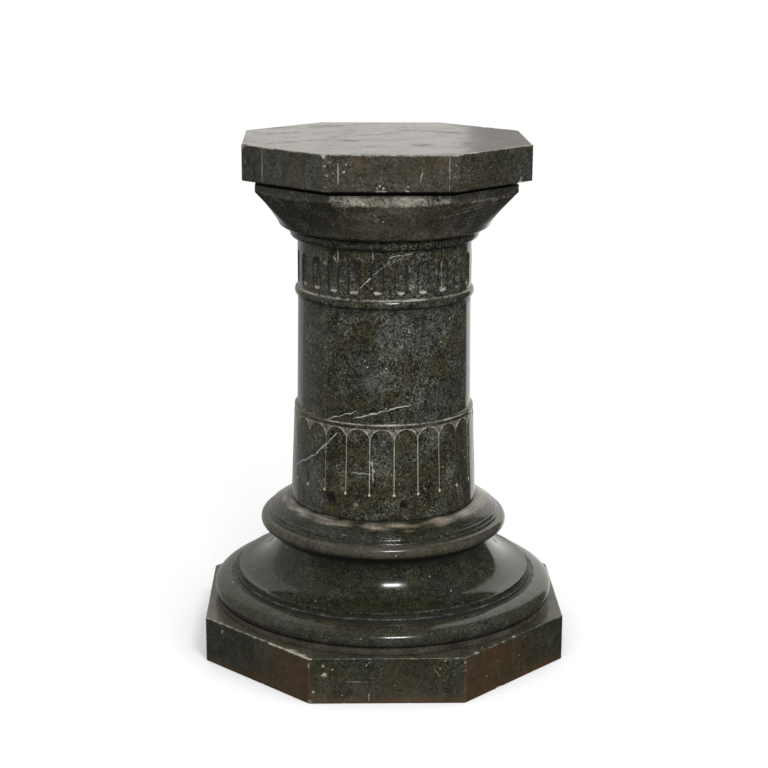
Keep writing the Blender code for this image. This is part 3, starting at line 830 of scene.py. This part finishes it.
# %% The capital
capital_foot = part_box("capital")[0].z / MM
capital_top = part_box("capital")[1].z / MM
bead_top = capital_foot + 13.2
round_top = bead_top + 8.5
echinus_top = bead_top + 52.9
fillet_top = echinus_top + 13.8
TOP_TURN = 0.7  # degrees
CORNER_RISE = 4.2


def octagonal_share(z):
    """None of the octagon at the round foot, all of it from the top of the echinus upwards."""
    return min(max((z - round_top) / (echinus_top - round_top), 0.0), 1.0)


def corner_rise(z):
    """The corners of the echinus stand a little higher than its flats."""
    return CORNER_RISE if z < echinus_top + 0.01 else CORNER_RISE * max(0.0, 1 - (z - echinus_top) / 6)


capital_points = [(0, capital_foot), (110, capital_foot)]
capital_points += arc(126.2, capital_foot + 6.6, 4.8, 6.6, -90, 90, 16)
capital_points += [(130.5, bead_top)]
capital_points += arc(132.5, round_top, 14.2, 8.5, -90, -20, 8)
capital_points += [(146.7 + 29.2 * share, round_top + 44.4 * share)
                   for share in [(i + 1) / 16 for i in range(16)]]
capital_points += [(175.9, echinus_top + 3), (175.9, echinus_top + 6), (175.9, fillet_top),
                   (167.9, fillet_top), (167.9, capital_top), (150, capital_top), (0, capital_top)]
fillet_outline = octagon(351.8, 99.6, 0.8, 5.5)
capital = turn(section(capital_points, 0.7, 4.0), len(fillet_outline))
press(capital, fillet_outline, octagonal_share, corner_rise)
bmesh.ops.rotate(capital, verts=capital.verts, matrix=Matrix.Rotation(math.radians(TOP_TURN), 3, "Z"))
print(len(fillet_outline), "points round the capital")

# %% [markdown]
# The front of the fillet is painted paler, a painted reflection. A film of dust lies on the
# echinus, with a painted sheen over its front, and painted shade fills the gap under the slab
# and the groove over the bead. Its marble is browner than the shaft's, with two long scratches
# at the right.

# %% Age, painted light and marble of the capital
def fillet_reflection(p):
    """A painted reflection: the front of the fillet is paler."""
    front = p.y < -174 and echinus_top - 1 < p.z < fillet_top
    return 0.32 + 0.25 * wobble(p, 18) if front else 0.0


def capital_dust_and_sheen(p):
    """A thin film of dust, with a painted sheen that is thickest on the front of the echinus."""
    if not bead_top < p.z < fillet_top:
        return 0.0
    front = math.exp(-(p.x / 90) ** 2) if p.y < 0 else 0.4
    return (0.05 + 0.07 * front) * (1 + wobble((p.x, p.y, 3 * p.z), 40))


paint(capital, "dust_and_sheen", capital_dust_and_sheen)
paint(capital, "tooled_and_reflection", fillet_reflection)
paint(capital, "wear_and_highlight", lambda p: 0.35 + 0.5 * wobble(p, 9) if abs(p.z - echinus_top) < 2 and p.x > 75 else 0.0)
# Painted shade in the gap under the slab and in the groove over the bead.
paint(capital, "grime_and_shade", lambda p: 1.0 if p.z > fillet_top - 0.5 or abs(p.z - bead_top) < 1.6 else 0.0)

capital_marble = Marble("Capital_serpentine_marble", 7.7)
ground(capital_marble, 0.14, olive="#2f2d1e", grey="#33332d", contrast=0.9)
lay_sheets(capital_marble, (((60, -150.0, 636), (125, -105.0, 645), 0.35),
                            ((75, -140.0, 643), (125, -112.0, 650), 0.3)), SCRATCH, 0.6, 0.8, 0.9)
age(capital_marble)
finish_stone(capital, "capital_stone", "capital", finish_marble(capital_marble))

# %% [markdown]
# The plinth and the top slab are octagonal blocks, sawn and polished. Their rings lie closest
# together near the arrises, where the chips are. The flat faces between need no vertices for
# their shape, but the masks of dust and stain do.

# %% An octagonal block
def block(width, corner_cut, bottom, top, arris):
    """An octagonal block with rounded arrises, its rings close together near its edges."""
    half = width / 2
    steps = (1.5, 3, 5, 7.5, 10.5, 14, 18)
    rise = [bottom + d for d in steps] + [top - d for d in reversed(steps)]
    points = [(0, bottom), (half - 40, bottom)] + [(half - d, bottom) for d in reversed(steps)]
    points += [(half, bottom)] + [(half, z) for z in rise] + [(half, top)]
    points += [(half - d, top) for d in steps] + [(half - 25, top), (half - 32, top), (half - 40, top)]
    points += [(r, top) for r in range(140, 10, -12) if r < half - 45] + [(0, top)]
    outline = octagon(width, corner_cut, arris, 1.8)
    bm = turn(section(points, arris, 5.0), len(outline))
    press(bm, outline, lambda z: 1.0)
    return bm


def out_past(p, flat):
    """How far a place stands out past an octagon with flats at this distance."""
    return max(abs(p.x), abs(p.y), (abs(p.x) + abs(p.y)) / math.sqrt(2)) - flat


plinth_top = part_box("plinth")[1].z / MM
plinth = block(500.0, 146.0, 0.0, plinth_top, 1.5)
print(len(plinth.verts), "vertices in the plinth")

# %% [markdown]
# Damp has climbed the plinth and left it brown along the foot and round its two front
# corners. Its upper arris is rubbed and chipped, most of all at the front left, where it was
# knocked, and the far left side is darkened with painted shade.

# %% Age and painted shade of the plinth
def brown_stain(p):
    """Brown patches from the two front corners, and damp along the foot."""
    left = 1.0 - math.hypot(p.x + 104, p.y + 250) / 130 if p.x < -103 and p.y < 0 else 0.0
    right = 1.0 - math.hypot(p.x - 104, p.y + 250) / 190 if p.x > 103 and p.y < 0 else 0.0
    foot = 1.15 - p.z / 14
    rear = 0.35 + wobble(p, 90, 4.0) if p.y > -90 else 0.0
    side = max(left, right, rear) + 0.35 * wobble(p, 40)
    return max(side, foot + 0.35 * wobble(p, 35, 2.0)) if p.z < plinth_top - 0.8 else 0.0


def top_dust(p):
    """Dust lies on the plinth's corners, beyond the turned base, and thinly down its front."""
    left = 0.07 if p.x < -100 and p.y < 0 else 0.0
    if p.z > plinth_top - 0.4:
        return 0.05 + left + 0.06 * wobble(p, 40) if math.hypot(p.x, p.y) > 236 else 0.0
    return 0.06 * (1 - p.z / plinth_top) * (1 + wobble(p, 30)) if p.y < -249 else 0.0


def rubbed_arris(p):
    """Upper arris, rubbed pale most of all at the front left."""
    near, out = 1 - (plinth_top - p.z) / 3.5, out_past(p, 246.5)
    left = (0.75 if p.x > -160 else 0.40) if p.x < -100 and p.y < 0 else 0.05
    return min(near, out / 3) * (left + 0.20 + 0.6 * wobble(p, 9)) if near > 0 and out > 0 else 0.0


paint(plinth, "stained", brown_stain)
paint(plinth, "dust_and_sheen", top_dust)
paint(plinth, "wear_and_highlight", rubbed_arris)
# Painted shade on the far left side.
paint(plinth, "grime_and_shade", lambda p: 0.42 if p.x < -180 and p.z < plinth_top - 1 else 0.0)
flakes = [
    ((-176, -181, 66), (5, 5, 3), 0.6), ((-157, -198, 66), (5, 5, 3), 0.6), ((-129, -226, 66), (12, 12, 3), 0.6),
    ((-115, -240, 66), (8, 8, 3), 0.8), ((-85, -252, 54), (2.6, 2.8, 2.6), 1.0), ((-84, -252, 42), (4, 3, 4.5), 1.0),
    ((-99, -252, 17), (4, 2.6, 2), 0.7), ((-105, -251, 55), (3, 3, 7), 0.5), ((121, -235, 66), (7, 7, 3), 0.6),
    ((176, -180, 66), (8, 8, 2.6), 0.6), ((148, -208, 66), (5, 5, 2.5), 0.5), ((155, -202, -1), (8, 8, 3.5), 0.6),
    ((83, -252, 64), (14, 3, 2.2), 0.4), ((103, -252, 57), (2.5, 3, 4), 0.6), ((103, -252, 37), (2.5, 3, 6), 0.4),
    ((103, -252, 19), (2.5, 3, 5), 0.5), ((-104, -252, 3), (6, 4, 5), 0.5), ((-226, -130, 53), (3, 3, 2.5), 0.8)]
chip(plinth, flakes + nicks(250.0, 146.0, (0.0, plinth_top), 80, 3))

# %% [markdown]
# Feet and mops have taken the plinth's polish down to half, which gives the eye a soft, wide
# sheen. Scratches and small knocks are pale, because broken marble is.

# %% Marble of the plinth
plinth_marble = Marble("Stained_serpentine_marble", 5.3)
ground(plinth_marble, 0.25, dark="#15160f", olive="#34331f", grey="#343731", fleck="#5d5e50", contrast=0.85)
age(plinth_marble)
lay_sheets(plinth_marble, (
    ((-29.7, -250.0, 53.0), (-22.0, -250.0, 60.5), 0.6), ((-54.0, -250.0, 31.8), (-24.0, -250.0, 31.0), 0.35),
    ((-24.3, -250.0, 14.5), (-24.2, -250.0, 1.0), 1.1), ((62.0, -250.0, 50.0), (70.0, -250.0, 38.0), 0.3)),
    SCRATCH, 0.6, 0.8, 0.8)
lay_spots(plinth_marble, (
    ((-84, -250, 43), 1.9), ((-83, -250, 39), 1.3), ((-87, -250, 40), 1.2), ((-85, -250, 54), 1.4),
    ((-98, -250, 17), 2.2), ((-226, -128, 52), 1.6), ((-60, -250, 12), 1.0), ((70, -250, 50), 1.2),
    ((150, -204, 40), 1.0), ((10, -250, 26), 0.9)), "#a49b8b", 0.6)
finish_stone(plinth, "plinth_stone", "plinth", finish_marble(plinth_marble))

# %% [markdown]
# The top slab is turned a little against the plinth, as the real one is. Its upper face is
# the one that things stood on: dusty, with soft patches of old dirt. Its arrises are rubbed
# and nicked all round. Its front gets a thin painted sheen, and its far left side painted shade.

# %% The top slab, its age and its painted light
slab_foot, slab_top = (corner.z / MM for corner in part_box("top_slab"))
slab = block(385.0, 105.9, slab_foot, slab_top, 1.5)
bmesh.ops.rotate(slab, verts=slab.verts, matrix=Matrix.Rotation(math.radians(TOP_TURN), 3, "Z"))


def slab_rubbed(p):
    """Upper arris of the slab, rubbed pale at the front."""
    near, out = 1 - (slab_top - p.z) / 3.0, out_past(p, 189)
    return min(near, out / 3) * (0.50 + 0.5 * wobble(p, 16)) if near > 0 and out > 0 else 0.0


def slab_stain(p):
    """A faint brown cast over the slab's sides, strongest in a spot on its front."""
    blot = 0.9 - math.dist(p, (-39, -193, 711)) / 16
    left = 0.06 if p.x < -100 else 0.0
    return max(blot, left + 0.35 * wobble(p, 45)) if p.z < slab_top - 1 else 0.0


def slab_dust_and_sheen(p):
    """Dust on the slab's top, and the thinnest painted sheen on its front."""
    if p.z > slab_top - 0.3:
        return 0.20 + 0.12 * wobble(p, 35)
    return 0.03 * (1 + wobble(p, 30)) if p.y < -191 else 0.0


def slab_dirt_and_shade(p):
    """Old dirt in soft patches on the slab's top, and painted shade over its far left side."""
    if p.z > slab_top - 0.3:
        return 0.05 + 0.6 * wobble((p.x, 1.5 * p.y, 0), 45, 2.0)
    return 0.40 if p.x < -165 else 0.0


paint(slab, "wear_and_highlight", slab_rubbed)
paint(slab, "stained", slab_stain)
paint(slab, "dust_and_sheen", slab_dust_and_sheen)
paint(slab, "grime_and_shade", slab_dirt_and_shade)
flakes = [
    ((-191, -89, 723), (8, 8, 5), 0.4), ((-84, -194.5, 723), (7, 5, 5), 0.4), ((-82, -195, 708), (2.5, 3, 5), 0.6),
    ((-79, -195, 695), (2.5, 3, 5), 0.5), ((42, -194, 712), (3, 2.4, 6), 0.3), ((85, -193.5, 710), (2, 2.4, 6), 0.4),
    ((-9, -194, 674), (8, 3.5, 3.5), 0.7), ((24, -194, 674), (5, 3.5, 3.5), 0.7), ((176, -103, 675), (4, 4, 3), 0.8),
    ((-57, -194.5, 700), (3, 2.4, 3), 0.6), ((150, 133, 723), (7, 7, 4), 0.4), ((-120, 160, 674), (9, 9, 5), 0.6)]
chip(slab, flakes + nicks(192.5, 105.9, (slab_foot, slab_top), 90, 5))

# %% [markdown]
# The slab's marble is a shade lighter than the others. Four scratches run down its sides, and
# brown streaks of iron lie in its top. The dust on the top is rubbed in and still shines, so
# it keeps a low roughness, and the top mirrors the pale backdrop.

# %% Marble of the top slab
slab_marble = Marble("Slab_serpentine_marble", 9.9)
ground(slab_marble, 0.12, dark="#191914", olive="#353428", grey="#3a3c37", fleck="#6b6a5f", contrast=0.8)
lay_sheets(slab_marble, (
    ((-163.0, -116.7, 721.0), (-163.5, -116.2, 675.0), 0.6), ((-64.4, -193.3, 713.0), (-64.6, -193.3, 683.0), 0.6),
    ((44.0, -193.0, 706.0), (40.0, -193.0, 686.0), 0.5), ((77.0, -193.0, 720.0), (77.4, -193.0, 676.0), 0.4)),
    SCRATCH, 0.6, 0.8, 0.9)
age(slab_marble, dull=0.16)
lay_sheets(slab_marble, (
    ((-168.0, 35.0, TOP), (-115.0, 63.0, TOP), 8.0), ((-166.0, -81.0, TOP), (-112.0, -56.0, TOP), 6.0),
    ((-92.0, 118.0, TOP), (-55.0, 140.0, TOP), 5.0), ((-40.0, 20.0, TOP), (10.0, 38.0, TOP), 5.0),
    ((20.0, 90.0, TOP), (75.0, 70.0, TOP), 4.0), ((-70.0, -20.0, TOP), (-25.0, -40.0, TOP), 4.0)),
    "#3d3125", 0.3, 5.0, 0.95)
for colour, spots in (
        ("#452f1c", (((-39, -193, 711), 5.0),)), ("#a39d8f", (((-57, -193, 700), 2.0),)),
        ("#a0957f", (((-83, -193, 719), 3.2), ((24, -193, 681), 2.0), ((21, -193, 678), 1.6),
                     ((176, -102, 680), 2.4))),
        ("#8d8779", (((-81, -193, 707), 2.2), ((-78.5, -193, 695), 2.0), ((-88, -193, 690), 1.6),
                     ((-70, -193, 698), 1.4), ((-75, -193, 712), 1.8), ((85, -192.5, 708), 2.2))),
        ("#857c6c", (((-190, -90, 717), 3.4),)), ("#77736a", (((-187, -95, 700), 3.0),)),
        ("#b0a48c", (((-12, -193, 682), 2.0), ((-7, -193, 679), 2.4), ((-15, -193, 679), 1.5))),
        ("#5a5430", (((103, -177, 694), 2.5),))):
    lay_spots(slab_marble, spots, colour, 0.6, 0.6)
finish_stone(slab, "slab_stone", "top_slab", finish_marble(slab_marble))

# %% [markdown]
# The pedestal stands on a plain white floor that takes its soft shadow. The floor neither shows
# in the polish nor throws light back up, because in the photograph the stone stood in a dim room.

# %% Floor
FLOOR_HALF = 40.0  # metres
floor_mesh = bpy.data.meshes.new("floor")
plane = bmesh.new()
bmesh.ops.create_grid(plane, x_segments=1, y_segments=1, size=FLOOR_HALF)
plane.to_mesh(floor_mesh)
plane.free()
floor = bpy.data.objects.new("floor", floor_mesh)
scene.collection.objects.link(floor)
paper = bpy.data.materials.new("White_paper")
paper.use_nodes = True
shader = paper.node_tree.nodes["Principled BSDF"]
shader.inputs["Base Color"].default_value = linear("#e7e7e7")
shader.inputs["Roughness"].default_value = 1.0
shader.inputs["Emission Color"].default_value = linear("#ffffff")
shader.inputs["Emission Strength"].default_value = 0.03
floor.data.materials.append(paper)
floor.visible_glossy = False
floor.visible_diffuse = False
print("a floor", 2 * FLOOR_HALF, "m wide")

# %% [markdown]
# The stone is polished, so what it mirrors matters as much as its colour. The camera sees a
# white backdrop. A mirror ray sees a ring of greys instead: a dim room in front, a white
# screen at the right rear and grey ones behind. All other rays see three soft, wide lamps. Real
# screens would do the same, but they would have to be hidden from the camera one by one.

# %% Studio
world = bpy.data.worlds.new("Studio")
scene.world = world
world.use_nodes = True
tree = world.node_tree
direction = add(tree, "TexCoord")
axes = add(tree, "SeparateXYZ", direction).node.outputs
forward = add(tree, "Math", axes["Y"], -1.0, operation="MULTIPLY")
bearing = add(tree, "Math", axes["X"], forward, operation="ARCTAN2")
bearing = add(tree, "Math", bearing, 1 / math.tau, 0.5, operation="MULTIPLY_ADD")
horizon = add(tree, "ValToRGB", bearing).node
horizon.color_ramp.interpolation = "CONSTANT"
# Grey of each stretch of the horizon, from its bearing onwards: 0 towards the camera, 90 to the right.
GREY_AT = ((-180, 0.82), (-175.5, 0.52), (-139, 0.32), (-82, 0.10), (95, 0.10), (139, 1.1), (172.9, 0.37),
           (175.5, 0.84))
while len(horizon.color_ramp.elements) < len(GREY_AT):
    horizon.color_ramp.elements.new(0.5)
for element, (degrees, grey) in zip(horizon.color_ramp.elements, GREY_AT):
    element.position = (degrees + 180) / 360
    element.color = (grey, grey * 0.975, grey * 0.94, 1)
# Below the horizon the room's floor is dark.
low = add(tree, "MapRange", axes["Z"], -0.50, -0.28)
mirrored = add(tree, "Mix", low, (0.06, 0.058, 0.055, 1), horizon.outputs["Color"], data_type="RGBA")


def lobe(towards, strength, rest):
    """Light that is strongest from one direction and falls off to nothing at right angles to it."""
    along = add(tree, "VectorMath", direction, Vector(towards).normalized(), operation="DOT_PRODUCT")
    along = add(tree, "Math", along, 0.0, operation="MAXIMUM")
    return add(tree, "Math", along, strength, rest, operation="MULTIPLY_ADD")


lamps = lobe((0, 1, 0), 0.4, 0.08)
lamps = lobe((0, 0, 1), 1.2, lamps)
lamps = lobe((0.25, -1.0, 0.15), 1.2, lamps)
path = add(tree, "LightPath").node.outputs
seen = add(tree, "Mix", path["Is Glossy Ray"], lamps, mirrored, data_type="RGBA")
seen = add(tree, "Mix", path["Is Camera Ray"], seen, (1, 1, 1, 1), data_type="RGBA")
tree.links.new(seen, tree.nodes["Background"].inputs["Color"])
tree.nodes["Background"].inputs["Strength"].default_value = 1.0
print(len(tree.nodes), "nodes in the studio")

# %% [markdown]
# One small soft box over the camera gives the short bright glints on the two tori and in the
# dish. It is a lamp and not a lit panel, so that the camera never sees it.

# %% Soft box
box = bpy.data.lights.new("Soft box", "AREA")
box.shape = "RECTANGLE"
box.size, box.size_y = 0.28, 0.09
box.energy = 6.0
box_light = bpy.data.objects.new("Soft box", box)
scene.collection.objects.link(box_light)
box_light.location = (0.15, -0.95, 1.15)
box_light.rotation_mode = "QUATERNION"
box_light.rotation_quaternion = (Vector((0, 0, 0.35)) - Vector(box_light.location)).to_track_quat("-Z", "Y")
print("soft box of", box.energy, "W")
